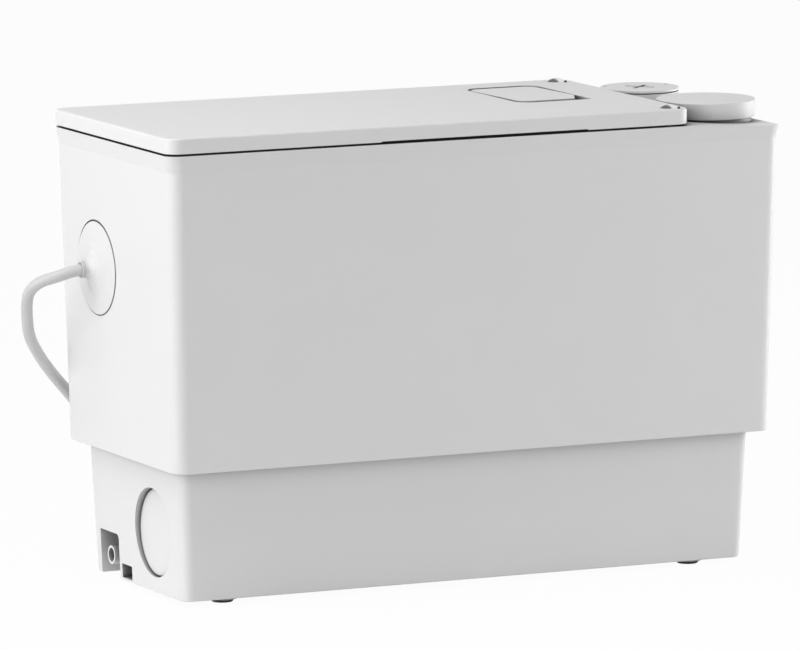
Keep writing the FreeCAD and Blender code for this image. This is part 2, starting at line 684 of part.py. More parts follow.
node(ring("outlet_seal", "outlet_bore + 2.9", "outlet_bore + 0.5",
          "outlet_plug_low - outlet_collar_top", "port_x", "port_y", "outlet_collar_top"))

# Cable gland

gland_tube = lathe("cable_gland", [("cable_diameter / 2 + 0.15", "0"), ("gland_tip", "0"),
                                   ("gland_tip", "1.6"), ("5.1", "2.9"), ("6", "4.2"), ("7.8", "5.6"),
                                   ("10.6", "6.8"), ("15", "7.9"), ("20.5", "8.7"),
                                   ("gland_disc - 0.4", "gland_end - gland_face - gland_proud"),
                                   ("gland_disc", "gland_end - gland_face - gland_proud + 0.3"),
                                   ("gland_disc", "gland_end - gland_face + 1.4"),
                                   ("19.7", "gland_end - gland_face + 1.4"),
                                   ("19.7", "gland_end - gland_face + 5"),
                                   ("9", "gland_end - gland_face + 6"),
                                   ("5.2", "gland_end - gland_face + 16"),
                                   ("cable_diameter / 2 + 0.15", "gland_end - gland_face + 16")],
                   "-1 * gland_end", "gland_y", "gland_z", SQUARE_TO_FACE)
node(gland_tube)
gland_slope = math.tan(math.radians(size("casing_draft")))
gland_mouth = Vector(-size("gland_end"), size("gland_y"), size("gland_z"))
lead_bend = gland_mouth + Vector(43, 0, 43 * gland_slope)
lead_start = gland_mouth + Vector(8.9, 0, 8.9 * gland_slope)
node(pipe("inner_lead", [lead_start, lead_bend, Vector(lead_bend.x, lead_bend.y, 132)], [16.0],
          size("cable_diameter") / 2))

# Tank cover and what stands on it

cover_plate = slab("tank_cover_plate", "neck_half_length", "neck_half_width", "cover_plate_thick",
                   "tank_corner", z="tank_top + 1.2")
cover_holes = [
    cylinder("cover_pump_hole", "38", "10", "pump_x", "pump_y", "tank_top"),
    cylinder("cover_riser_hole", "riser_radius + 0.3", "10", "riser_x", "port_y", "tank_top"),
    cylinder("cover_inlet_hole", "22.3", "10", "140", "-36", "tank_top"),
    cylinder("cover_bell_hole", "16.3", "10", "bell_x", "bell_y", "tank_top"),
    cylinder("cover_vent_way", "5.4", "150", "104", "44", "tank_top - 5"),
    cylinder("capacitor_way", "17.3", "80", "15", "capacitor_y", "121", ALONG_X),
]
cover_vent = cylinder("cover_vent", "7", "130", "104", "44", "tank_top + 3")
cover_cradle = box("cover_cradle", "16", "38", "20", "53", "capacitor_y", "tank_top + 3")
cover_full = fuse("tank_cover_full", cover_plate, cover_vent, cover_cradle)

cover_holes += [cylinder(f"cover_screw_hole_{i}", "2.3", "10", str(x), str(y), "tank_top")
                for i, (x, y) in enumerate(boss_places)]
node(cut("tank_cover", cover_full, *cover_holes))
gasket_block = slab("cover_gasket_block", "neck_half_length - 0.5", "neck_half_width - 0.5", "1.2",
                    "tank_corner", z="tank_top")
gasket_hole = slab("cover_gasket_hole", "neck_half_length - tank_wall", "neck_half_width - tank_wall",
                   "4", "tank_corner - 3", z="tank_top - 1")
node(cut("tank_cover_gasket", gasket_block, gasket_hole))


node(group("tank_cover_screws", [pan_screw(f"cover_screw_{i}", str(x), str(y),
                                           "tank_top + 1.2 + cover_plate_thick", "17")
                                 for i, (x, y) in enumerate(boss_places)]))

# Pump

volute_round = cylinder("volute_round", "43", "volute_top - volute_low - 3", "pump_x", "pump_y",
                        "volute_low + 3")
volute_spout = cylinder("volute_spout", "riser_radius", "50", "pump_x", "port_y", "spout_z", ALONG_X)
volute_chamber = cylinder("volute_chamber", "36", "16.5", "pump_x", "pump_y", "volute_low + 3")
volute_way = cylinder("volute_way", "riser_radius - pipe_wall", "60", "pump_x - 4", "port_y",
                      "spout_z", ALONG_X)
shaft_way = cylinder("volute_shaft_way", "14.5", "20", "pump_x", "pump_y", "30")
under_volute = cylinder("under_volute", "43.3", "13", "pump_x", "pump_y", "volute_low - 10")
screw_spots = [(36.5 * math.cos(math.radians(a)), 36.5 * math.sin(math.radians(a)))
               for a in (0, 150, 210, 285)]
screw_bores = [cylinder(f"volute_bore_{i}", "1.9", "12", f"pump_x + {x:.4f}", f"pump_y + {y:.4f}",
                        "volute_top - 7") for i, (x, y) in enumerate(screw_spots)]
node(cut("volute_casing", fuse("volute_full", volute_round, volute_spout), under_volute,
         volute_chamber, volute_way, shaft_way, *screw_bores))
suction_plate = lathe("suction_plate", [("13", "volute_low"), ("43", "volute_low"),
                                        ("43", "volute_low + 3"), ("13", "volute_low + 3")],
                      "pump_x", "pump_y")
strainer_ring = ring("strainer_ring", "34", "31", "volute_low - 6.1", "pump_x", "pump_y", "6.6")
strainer_gaps = []
for i in range(6):
    gap = box(f"strainer_gap_{i}", "80", "7", "4.5")
    angle = 30 * i
    reach = Rotation(Vector(0, 0, 1), angle).multVec(Vector(-40, -3.5, 0))
    strainer_gaps.append(place(gap, f"pump_x + {reach.x:.4f}", f"pump_y + {reach.y:.4f}", "8.2",
                               (Vector(0, 0, 1), angle)))
node(cut("suction_cover", fuse("suction_full", suction_plate, strainer_ring), *strainer_gaps))

column = lathe("pump_column_turned", [("14.5", "volute_top"), ("40", "volute_top"), ("40", "volute_top + 4"),
                               ("30", "volute_top + 4"), ("30", "102"), ("35.5", "102"),
                               ("35.5", "106.2"), ("26.5", "106.2"), ("26.5", "volute_top + 4"),
                               ("14.5", "volute_top + 4")], "pump_x", "pump_y")
window_a = box("column_window_a", "80", "22", "34", "pump_x", "pump_y", "56")
window_b = box("column_window_b", "22", "80", "34", "pump_x", "pump_y", "56")
node(cut("pump_column", column, window_a, window_b,
         *[cylinder(f"column_bore_{i}", "1.9", "12", f"pump_x + {x:.4f}", f"pump_y + {y:.4f}",
                    "volute_top - 4") for i, (x, y) in enumerate(screw_spots)]))


node(group("volute_screws", [pan_screw(f"volute_screw_{i}", f"pump_x + {x:.4f}",
                                       f"pump_y + {y:.4f}", "volute_top + 4", "10", "1.6", "3")
                             for i, (x, y) in enumerate(screw_spots)]))

hub = lathe("impeller_disc", [("shaft_radius", "21.5"), ("11", "21.5"), ("11", "28"),
                              ("impeller_radius", "28"), ("impeller_radius", "30.4"), ("12", "30.4"),
                              ("12", "32"), ("shaft_radius", "32")], "pump_x", "pump_y")
vanes = []
for i in range(6):
    vane = box(f"impeller_vane_{i}", "20", "2.4", "8", "0", "0", "20.4")
    spin = Rotation(Vector(0, 0, 1), 60 * i)
    reach = spin.multVec(Vector(9, 2, 0))
    vanes.append(place(vane, f"pump_x + {reach.x:.4f}", f"pump_y + {reach.y:.4f}", "20.4",
                       (Vector(0, 0, 1), 60 * i)))
node(fuse("impeller", hub, *vanes))
node(lathe("impeller_nut", [("3.1", "17.4"), ("7.5", "17.4"), ("7.5", "21.5"), ("3.1", "21.5")],
           "pump_x", "pump_y"))
node(ring("seal_head", "12", "shaft_radius", "7.4", "pump_x", "pump_y", "32"))
node(ring("seal_seat", "14.4", "shaft_radius + 0.5", "8", "pump_x", "pump_y", "39.4"))
node(lathe("motor_shaft", [("0", "16.5"), ("3", "16.5"), ("3", "21.5"), ("shaft_radius", "21.5"),
                           ("shaft_radius", "197"), ("0", "197")], "pump_x", "pump_y"))

# Motor

flange_disc = lathe("motor_flange_disc", [("21", "motor_low - 1.8"), ("48", "motor_low - 1.8"),
                                          ("48", "motor_low + 4"), ("18", "motor_low + 4"),
                                          ("18", "motor_low + 12"), ("16.1", "motor_low + 12"),
                                          ("16.1", "motor_low + 1.8"), ("21", "motor_low + 1.8")],
                    "pump_x", "pump_y")
bush_places = []
for i in range(4):
    a = math.radians(45 + 90 * i)
    bush_places.append((54.0 * math.cos(a), 54.0 * math.sin(a)))
lugs = [cylinder(f"motor_lug_{i}", "8", "5.8", f"pump_x + {x:.4f}", f"pump_y + {y:.4f}",
                 "motor_low - 1.8") for i, (x, y) in enumerate(bush_places)]
lug_holes = [cylinder(f"motor_lug_hole_{i}", "2.3", "12", f"pump_x + {x:.4f}",
                      f"pump_y + {y:.4f}", "motor_low - 4") for i, (x, y) in enumerate(bush_places)]
node(cut("motor_flange", fuse("motor_flange_full", flange_disc, *lugs), *lug_holes))
node(group("vibration_bushes", [ring(f"vibration_bush_{i}", "7", "2.3", "5", f"pump_x + {x:.4f}",
                                     f"pump_y + {y:.4f}", "motor_low - 6.8")
                                for i, (x, y) in enumerate(bush_places)]))
node(group("motor_bolts", [pan_screw(f"motor_bolt_{i}", f"pump_x + {x:.4f}", f"pump_y + {y:.4f}",
                                     "motor_low + 4", "10.8")
                           for i, (x, y) in enumerate(bush_places)]))
node(lathe("motor_can", [("motor_radius - 1.5", "motor_low + 4"), ("motor_radius", "motor_low + 4"),
                         ("motor_radius", "motor_low + 84"), ("18.5", "motor_top"),
                         ("0", "motor_top"), ("0", "motor_top - 2.5"), ("16.1", "motor_top - 2.5"),
                         ("16.1", "motor_top - 13"), ("18", "motor_top - 13"),
                         ("18", "motor_top - 2.9"), ("motor_radius - 1.5", "motor_low + 82")],
           "pump_x", "pump_y"))
node(ring("stator_core", "motor_radius - 1.5", "24.5", "44", "pump_x", "pump_y", "128"))
windings = [ring(f"winding_{i}", "40", "27", "11", "pump_x", "pump_y", z)
            for i, z in enumerate(("117", "172"))]
node(group("stator_windings", windings))
node(ring("rotor_core", "24", "shaft_radius", "44", "pump_x", "pump_y", "128"))
outer_rings = [ring(f"bearing_outer_{i}", "16.1", "13", "9", "pump_x", "pump_y", z)
               for i, z in enumerate(("motor_low + 2.5", "motor_top - 12"))]
node(group("bearing_outer_rings", outer_rings))
inner_rings = [ring(f"bearing_inner_{i}", "9", "shaft_radius", "9", "pump_x", "pump_y", z)
               for i, z in enumerate(("motor_low + 2.5", "motor_top - 12"))]
node(group("bearing_inner_rings", inner_rings))
balls = [ball(f"bearing_ball_{i}_{k}", "1.95", f"pump_x + {11 * math.cos(2 * math.pi * k / 8):.4f}",
              f"pump_y + {11 * math.sin(2 * math.pi * k / 8):.4f}", z)
         for i, z in enumerate(("motor_low + 7", "motor_top - 7.5")) for k in range(8)]
node(group("bearing_balls", balls))

# Discharge line, check valve and outlet pipe

discharge_points = [(size("pump_x") + 50, size("port_y"), size("spout_z")),
                    (size("riser_x"), size("port_y"), size("spout_z")),
                    (size("riser_x"), size("port_y"), size("valve_low"))]
node(pipe("discharge_pipe", discharge_points, [24.0], size("riser_radius"),
          size("riser_radius") - size("pipe_wall")))

valve_outer = lathe("valve_outer", [("0", "valve_low"), ("valve_radius", "valve_low"),
                                    ("valve_radius", "valve_top"), ("0", "valve_top")],
                    "port_x", "port_y")
valve_space = cylinder("valve_space", "valve_radius - 2.4", "valve_top - valve_low - 7", "port_x",
                       "port_y", "valve_low + 5")
valve_seat_hole = cylinder("valve_seat_hole", "9", "12", "riser_x", "port_y", "valve_low - 1")
valve_out_hole = cylinder("valve_out_hole", "13.8", "12", "port_x", "port_y", "valve_top - 6")
flap_post = box("flap_post_space", "5", "13", "7", "flap_pin_x", "port_y", "valve_low + 5")
pin_lugs = cut("valve_pin_lugs", box("valve_pin_lug", "5", "20", "6.4", "flap_pin_x", "port_y",
                                     "valve_low + 5"), flap_post)
pin_way = cylinder("valve_pin_way", "1.25", "24", "flap_pin_x", "port_y - 12", "flap_pin_z", ALONG_Y)
node(cut("check_valve_body", fuse("valve_full", cut("valve_shell", valve_outer, valve_space,
                                                    valve_seat_hole, valve_out_hole), pin_lugs),
         pin_way))
flap_disc = cylinder("flap_disc", "11", "2.2", "riser_x", "port_y", "valve_low + 5.05")
flap_arm = box("flap_arm", "flap_pin_x - riser_x", "6", "2.4", "(riser_x + flap_pin_x) / 2",
               "port_y", "valve_low + 7.2")
flap_eye = cylinder("flap_eye", "2.4", "12", "flap_pin_x", "port_y - 6", "flap_pin_z", ALONG_Y)
flap_stubs = cylinder("flap_stubs", "1.2", "19", "flap_pin_x", "port_y - 9.5", "flap_pin_z", ALONG_Y)
node(fuse("check_valve_flap", flap_disc, flap_arm, flap_eye, flap_stubs))
node(lathe("outlet_pipe", [("13.9", "valve_top"), ("outlet_bore", "valve_top"),
                           ("outlet_bore", "232"), ("13.9", "232")], "port_x", "port_y"))

# Inlet pipe, vent pipe, pressure bell and controls

node(pipe("inlet_drop_pipe", [(size("port_x"), -size("port_y"), 224.6),
                              (size("port_x"), -size("port_y"), 190), (140, -36, 140),
                              (140, -36, 90)], [40.0, 40.0], 22.0, 20.0))
node(lathe("pressure_bell", [("13.8", "24"), ("16", "24"), ("16", "101.4"), ("19", "101.4"),
                             ("19", "104"), ("3", "106"), ("3", "120"), ("1.6", "120"),
                             ("1.6", "103.5"), ("13.8", "101")], "bell_x", "bell_y"))
bell_top = Vector(size("bell_x"), size("bell_y"), 109)
switch_top = Vector(size("switch_x"), size("switch_y"), 141)
node(pipe("pressure_hose", [bell_top, Vector(bell_top.x, bell_top.y, 170),
                            Vector(switch_top.x, switch_top.y, 170), switch_top],
          [17.0, 17.0], 4.6, 3.05))
node(lathe("pressure_switch_body", [("22", "112"), ("24", "112"), ("24", "135"), ("3", "137"),
                                    ("3", "148"), ("1.6", "148"), ("1.6", "134"), ("22", "132")],
           "switch_x", "switch_y"))
switch_plate = lathe("switch_plate", [("4.1", "108.4"), ("22", "108.4"), ("22", "112"), ("4.1", "112")],
                     "switch_x", "switch_y")
switch_legs = [box(f"switch_leg_{i}", "6", "6", "7.2", f"switch_x + {sx * 12}",
                   f"switch_y + {sy * 12}", "101.2") for i, (sx, sy) in enumerate(foot_places)]
node(fuse("pressure_switch_base", switch_plate, *switch_legs))
node(lathe("switch_plunger", [("0", "106"), ("4", "106"), ("4", "117"), ("18", "117"), ("18", "118.5"),
                              ("0", "118.5")], "switch_x", "switch_y"))
node(cylinder("start_capacitor", "17", "68", "18", "capacitor_y", "121", ALONG_X))

control_outer = slab("control_box_outer", "30", "52", "56", "4", "-134", "0", "101.2")
control_space = slab("control_box_space", "28", "50", "60", "3", "-134", "0", "103.2")
lead_hole = cylinder("control_lead_hole", "cable_diameter / 2 + 0.4", "20",
                     f"{lead_bend.x:.4f}", f"{lead_bend.y:.4f}", "150")
node(cut("control_box", control_outer, control_space))
control_top = slab("control_lid_plate", "30", "52", "2.5", "4", "-134", "0", "157.2")
node(cut("control_box_lid", control_top, lead_hole))
board_plate = slab("board_plate", "24", "42", "1.6", "1.5", "-134", "-3", "110")
terminals = box("terminals", "12", "40", "16", "-150", "-6", "111.5")
wells = [cylinder(f"terminal_well_{i}", "2.2", "9", "-150", str(-22 + 8 * i), "120")
         for i in range(5)]
board_parts = [cut("terminal_block", terminals, *wells),
               box("relay", "16", "20", "15", "-122", "18", "111.5"),
               box("transformer", "24", "28", "20", "-124", "-22", "111.5"),
               cylinder("buffer_can", "6", "16", "-130", "1", "111.5")]
board_parts += [cylinder(f"board_post_{i}", "2.5", "6.8", f"{-134 + 20 * sx}", f"{-3 + 38 * sy}", "103.3")
                for i, (sx, sy) in enumerate(foot_places)]
node(fuse("control_board", board_plate, *board_parts))

# Mains cable: gland, down behind the casing, along the floor, coil and plug

cable_radius = size("cable_diameter") / 2
coil_centre = Vector(20, 146, 0)
coil_pitch = 7.1
coil_outer = 42.0
coil_low = 3.3
coil_turns = 2
layer_turns = 2.0 * math.pi * coil_turns
cable_route = [
    (-184.5, 25.2, 177.205),
    (-195.9, 25.2, 176.943),
    (-207.8, 26.1, 173.4),
    (-215.0, 30.9, 171.0),
    (-219.0, 37.8, 164.9),
    (-218.1, 43.2, 156.4),
    (-215.8, 47.9, 147.9),
    (-212.0, 55.0, 137.7),
    (-202.3, 66.5, 126.4),
    (-188.9, 81.2, 113.3),
    (-169.8, 91.5, 94.8),
    (-151.4, 98.1, 71.7),
    (-129.5, 104.5, 43.5),
    (-105.0, 107.5, 16.0),
    (-77.0, 107.5, 3.3),
    (-45.0, 103.0, 3.3),
    (-14.0, 104.0, 3.3),
    (13.5, 104.0, 3.3),
]


def route_radii(points):
    """Each inner point's arc radius, as large as its two runs allow."""
    radii = []
    for i in range(1, len(points) - 1):
        before, after = points[i - 1] - points[i], points[i + 1] - points[i]
        turn = math.pi - before.getAngle(after)
        radii.append(0.45 * min(before.Length, after.Length) / math.tan(turn / 2))
    return radii


route = [Vector(*p) for p in cable_route]
radii = route_radii(route)
print("cable runs", [round((b - a).Length, 1) for a, b in zip(route, route[1:])])
print("cable radii", [round(r, 1) for r in radii])
cable_wire = route_wire(route, radii)
cable_solid = swept(cable_wire, cable_radius)
print("cable length", round(cable_wire.Length, 1), "volume share",
      round(cable_solid.Volume / (math.pi * cable_radius ** 2 * cable_wire.Length), 4))
node(shaped("mains_cable", cable_solid))


def coil_point(angle):
    """The coil's centreline: in along the floor, up a layer where the spiral turns, and out again."""
    climb_end = layer_turns + math.pi
    if angle <= layer_turns:
        radius = coil_outer - coil_pitch * angle / (2 * math.pi)
        height = coil_low
    elif angle >= climb_end:
        radius = coil_outer - coil_pitch * coil_turns + coil_pitch * (angle - climb_end) / (2 * math.pi)
        height = coil_low + coil_pitch
    else:
        share = (angle - layer_turns) / math.pi
        radius = coil_outer - coil_pitch * (coil_turns + share * (1 - share) / 2)
        height = coil_low + coil_pitch * share * share * (3 - 2 * share)
    around = angle - math.pi / 2
    return coil_centre + Vector(radius * math.cos(around), radius * math.sin(around), height)


def coil_heading(angle):
    step = 1e-4
    return (coil_point(angle + step) - coil_point(angle - step)).normalize()


def arc_between(start, heading, end):
    """The arc that leaves start along heading and reaches end."""
    chord = end - start
    lean = heading.getAngle(chord)
    if lean < 1e-5:
        return Part.LineSegment(start, end).toShape()
    side = (heading - chord * (heading.dot(chord) / chord.Length ** 2)).normalize()
    middle = start + chord / 2 + side * (chord.Length / 2 * math.tan(lean / 2))
    return Part.Arc(start, middle, end).toShape()


def biarc(start, heading, end, last_heading):
    """Two arcs that meet smoothly and keep both headings."""
    chord = end - start
    a = 2 * (1 - heading.dot(last_heading))
    b = 2 * chord.dot(heading + last_heading)
    c = -chord.dot(chord)
    reach = (-b + math.sqrt(b * b - 4 * a * c)) / (2 * a)
    joint = (start + end + (heading - last_heading) * reach) / 2
    return [arc_between(start, heading, joint), arc_between(end, last_heading * -1, joint)]


quarter = math.pi / 2
coil_end = 2 * layer_turns + math.pi
coil_start_point = coil_point(0)
coil_edges = [Part.LineSegment(route[-1], coil_start_point).toShape()]
at, heading = coil_start_point, Vector(1, 0, 0)
for i in range(1, round(coil_end / quarter) + 1):
    after, next_heading = coil_point(quarter * i), coil_heading(quarter * i)
    if i == round(coil_end / quarter):
        next_heading = Vector(-1, 0, 0)
    coil_edges += biarc(at, heading, after, next_heading)
    at, heading = after, next_heading
plug_start = at + Vector(-1, 0, 0) * size("cable_diameter")
coil_edges.append(Part.LineSegment(at, plug_start).toShape())
coil_wire = Part.Wire(Part.__sortEdges__(coil_edges))
coil_solid = swept(coil_wire, cable_radius)
print("coil length", round(coil_wire.Length, 1), "volume share",
      round(coil_solid.Volume / (math.pi * cable_radius ** 2 * coil_wire.Length), 4))
samples = [(a, coil_point(a)) for a in [coil_end * k / 900 for k in range(901)]]
gap = min((p - q).Length for a, p in samples for b, q in samples if b - a > 2.6) - 2 * cable_radius
print("coil gap to itself", round(gap, 2))
node(shaped("mains_cable_coil", coil_solid))

# Plug with side entry, lying on its back with its pins up

plug_x = plug_start.x - 48.0
relief = Part.makeCone(cable_radius + 0.15, 6.5, 32.0, plug_start, Vector(-1, 0, 0))
disc = Part.makeCylinder(19.0, 24.0, Vector(plug_x, plug_start.y, 0))
face = Part.makeCylinder(16.5, 3.0, Vector(plug_x, plug_start.y, 22.0))
pins = [Part.makeCylinder(2.4, 20.0, Vector(plug_x, plug_start.y + dy, 21.0)) for dy in (-9.5, 9.5)]
plug = disc.cut(face).fuse([relief] + pins).removeSplitter()
node(shaped("mains_plug", plug))

# Checks and files

doc.recompute()
bad = [o.Label for o in doc.Objects if "Invalid" in o.State or "Error" in o.State]
for thing in NODES:
    shape = thing.Shape
    if shape.isNull() or not shape.isValid() or not shape.Solids:
        bad.append(thing.Label)
if bad:
    raise RuntimeError(f"these pieces failed: {bad}")
os.makedirs("parts", exist_ok=True)
for thing in NODES:
    thing.Shape.exportStep(os.path.join("parts", thing.Label + ".step"))
print(len(NODES), "nodes")
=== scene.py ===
# Compact waste water lifting pump: camera, mains cable, small parts, materials and lights.
# Metres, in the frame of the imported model: X along the long side, Y to the back, Z up from
# the floor. The numbers of the small parts and of the cable's route are in mm.
import json
import math

import bmesh
import bpy
from mathutils import Matrix, Vector


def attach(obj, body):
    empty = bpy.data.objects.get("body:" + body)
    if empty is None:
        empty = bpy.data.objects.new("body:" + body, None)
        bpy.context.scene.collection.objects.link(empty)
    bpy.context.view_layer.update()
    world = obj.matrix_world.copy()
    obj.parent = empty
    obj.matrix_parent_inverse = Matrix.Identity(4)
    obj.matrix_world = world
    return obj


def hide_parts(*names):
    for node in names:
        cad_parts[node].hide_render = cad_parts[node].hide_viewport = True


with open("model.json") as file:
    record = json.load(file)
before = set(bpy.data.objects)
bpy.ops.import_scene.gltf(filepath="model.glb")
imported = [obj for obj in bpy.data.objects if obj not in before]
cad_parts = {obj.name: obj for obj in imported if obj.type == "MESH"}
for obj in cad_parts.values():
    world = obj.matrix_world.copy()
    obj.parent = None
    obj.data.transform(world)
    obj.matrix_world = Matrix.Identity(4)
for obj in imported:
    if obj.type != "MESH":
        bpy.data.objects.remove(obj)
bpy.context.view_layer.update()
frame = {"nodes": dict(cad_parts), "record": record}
NODES = frame["nodes"]
MM = 0.001


# Camera, matched to the photograph

YAW = math.radians(25.074)
PITCH = math.radians(8.114)
ROLL = math.radians(-0.212)
IMAGE_WIDTH = 800
FOCAL_PIXELS = 9102.15
SENSOR = 36.0
FAR_CLIP = 100
# To the right, up and back from the origin of the fitted frame, in mm
CAMERA_AT = (-11.121, 132.241, 5077.08)
# Height of that origin over the floor
FITTED_LOW = 3.5

backward = Vector((-math.sin(YAW) * math.cos(PITCH), -math.cos(YAW) * math.cos(PITCH),
                   math.sin(PITCH)))
level = Vector((0, 0, 1)).cross(backward).normalized()
upward = backward.cross(level)
camera_right = math.cos(ROLL) * level + math.sin(ROLL) * upward
camera_up = -math.sin(ROLL) * level + math.cos(ROLL) * upward
spot = camera_right * CAMERA_AT[0] + camera_up * CAMERA_AT[1] + backward * CAMERA_AT[2]
spot = (spot + Vector((0, 0, FITTED_LOW))) * MM

camera_data = bpy.data.cameras.new("camera")
camera_data.sensor_width = SENSOR
camera_data.lens = FOCAL_PIXELS * SENSOR / IMAGE_WIDTH
camera_data.clip_end = FAR_CLIP
camera = bpy.data.objects.new("camera", camera_data)
bpy.context.scene.collection.objects.link(camera)
turn = Matrix((camera_right, camera_up, backward)).transposed().to_4x4()
camera.matrix_world = Matrix.Translation(spot) @ turn
bpy.context.scene.camera = camera


# Mesh helpers

SHARP_EDGE = math.radians(35)
BEVEL_SEGMENTS = 2
TUBE_ROUNDNESS = 5
LINE_STEPS = 12


def new_object(name, data):
    thing = bpy.data.objects.new(name, data)
    bpy.context.scene.collection.objects.link(thing)
    return thing


def from_bmesh(name, bm):
    """A mesh object from a bmesh, smooth but for its sharp edges."""
    bmesh.ops.recalc_face_normals(bm, faces=bm.faces)
    mesh = bpy.data.meshes.new(name)
    for face in bm.faces:
        face.smooth = True
    for edge in bm.edges:
        edge.smooth = not (len(edge.link_faces) == 2 and edge.calc_face_angle(0) > SHARP_EDGE)
    bm.to_mesh(mesh)
    bm.free()
    return new_object(name, mesh)


def turn_to(direction):
    """The rotation that takes +Z to a direction."""
    return Vector((0, 0, 1)).rotation_difference(Vector(direction)).to_matrix().to_4x4()


def add_lathe(bm, profile, at, axis=(0, 0, 1), steps=64):
    """Adds a turned form: profile is a list of (radius, height) in mm. Radius 0 closes it,
    and so does a last point that is the first one again."""
    place = Matrix.Translation(Vector(at) * MM) @ turn_to(axis)
    rings = []
    for radius, height in profile:
        if radius == 0:
            rings.append([bm.verts.new(place @ Vector((0, 0, height * MM)))])
            continue
        ring = []
        for i in range(steps):
            a = 2 * math.pi * i / steps
            point = Vector((radius * math.cos(a), radius * math.sin(a), height)) * MM
            ring.append(bm.verts.new(place @ point))
        rings.append(ring)
    for low, high in zip(rings, rings[1:]):
        for i in range(steps):
            j = (i + 1) % steps
            corners = [low[i % len(low)], low[j % len(low)],
                       high[j % len(high)], high[i % len(high)]]
            unique = list(dict.fromkeys(corners))
            if len(unique) > 2:
                bm.faces.new(unique)
    if profile[0] == profile[-1]:
        bmesh.ops.remove_doubles(bm, verts=rings[0] + rings[-1], dist=1e-7)
        return
    for end in (rings[0], rings[-1]):
        if len(end) > 2:
            bm.faces.new(end)


def add_block(bm, low, high, radius):
    """Adds a box between two corners in mm, with rounded edges."""
    piece = bmesh.new()
    bmesh.ops.create_cube(piece, size=1)
    centre = [(a + b) / 2 for a, b in zip(low, high)]
    extent = [b - a for a, b in zip(low, high)]
    for v in piece.verts:
        v.co = Vector([(c + e * k) * MM for c, e, k in zip(centre, extent, v.co)])
    bmesh.ops.bevel(piece, geom=piece.edges[:], offset=radius * MM, segments=BEVEL_SEGMENTS,
                    profile=0.5, affect="EDGES")
    mesh = bpy.data.meshes.new("block")
    piece.to_mesh(mesh)
    piece.free()
    bm.from_mesh(mesh)
    bpy.data.meshes.remove(mesh)


def strand(name, points, radius):
    """A round wire along a smooth line near its points, in mm."""
    curve = bpy.data.curves.new(name, "CURVE")
    curve.dimensions = "3D"
    curve.bevel_depth = 1.0
    curve.bevel_resolution = TUBE_ROUNDNESS
    curve.use_fill_caps = True
    spline = curve.splines.new("NURBS")
    spline.points.add(len(points) - 1)
    for point, place in zip(spline.points, points):
        point.co = (*[c * MM for c in place], 1)
        point.radius = radius * MM
    spline.order_u = 3
    spline.use_endpoint_u = True
    spline.resolution_u = LINE_STEPS
    return new_object(name, curve)


# Mains cable: the route of the solid, then the coil that lies behind the unit

CABLE_DIAMETER = 6.5
COIL_CENTRE = Vector((20.0, 146.0, 0.0))
COIL_PITCH = 7.1
COIL_OUTER = 42.0
COIL_LOW = 3.3
COIL_TURNS = 2
POINTS_PER_TURN = 20
LAYER = 2 * math.pi * COIL_TURNS

cable_route = [
    (-184.5, 25.2, 177.205),
    (-195.9, 25.2, 176.943),
    (-207.8, 26.1, 173.4),
    (-215.0, 30.9, 171.0),
    (-219.0, 37.8, 164.9),
    (-218.1, 43.2, 156.4),
    (-215.8, 47.9, 147.9),
    (-212.0, 55.0, 137.7),
    (-202.3, 66.5, 126.4),
    (-188.9, 81.2, 113.3),
    (-169.8, 91.5, 94.8),
    (-151.4, 98.1, 71.7),
    (-129.5, 104.5, 43.5),
    (-105.0, 107.5, 16.0),
    (-77.0, 107.5, 3.3),
    (-45.0, 103.0, 3.3),
    (-14.0, 104.0, 3.3),
    (13.5, 104.0, 3.3),
]


def coil_point(angle):
    """In along the floor, up a layer where the spiral turns, and out again."""
    climb_end = LAYER + math.pi
    if angle <= LAYER:
        radius = COIL_OUTER - COIL_PITCH * angle / (2 * math.pi)
        height = COIL_LOW
    elif angle >= climb_end:
        radius = COIL_OUTER - COIL_PITCH * COIL_TURNS
        radius += COIL_PITCH * (angle - climb_end) / (2 * math.pi)
        height = COIL_LOW + COIL_PITCH
    else:
        share = (angle - LAYER) / math.pi
        radius = COIL_OUTER - COIL_PITCH * (COIL_TURNS + share * (1 - share) / 2)
        height = COIL_LOW + COIL_PITCH * share * share * (3 - 2 * share)
    around = angle - math.pi / 2
    return COIL_CENTRE + Vector((radius * math.cos(around), radius * math.sin(around), height))


coil_end = 2 * LAYER + math.pi
coil_steps = round(coil_end / (2 * math.pi) * POINTS_PER_TURN)
coil_points = [coil_point(coil_end * i / coil_steps) for i in range(coil_steps + 1)]
plug_start = coil_points[-1] + Vector((-CABLE_DIAMETER, 0, 0))
cable = strand("cable", cable_route + [tuple(p) for p in coil_points] + [tuple(plug_start)],
               CABLE_DIAMETER / 2)
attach(cable, "housing")
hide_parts("mains_cable", "mains_cable_coil")


# Mains plug with side entry, on its back: housing with a grip ring and a ribbed kink guard

PLUG_REACH = 48.0
PLUG_FACE = 22.2
PIN_OFFSET = 9.5
GUARD_BORE = 3.27
GUARD_START = 0.2
GUARD_END = 37.0
GUARD_THIN = 3.5
GUARD_THICK = 6.5
GUARD_TAPER = 32.0
GUARD_RIBS = 8
GUARD_PITCH = 3.6

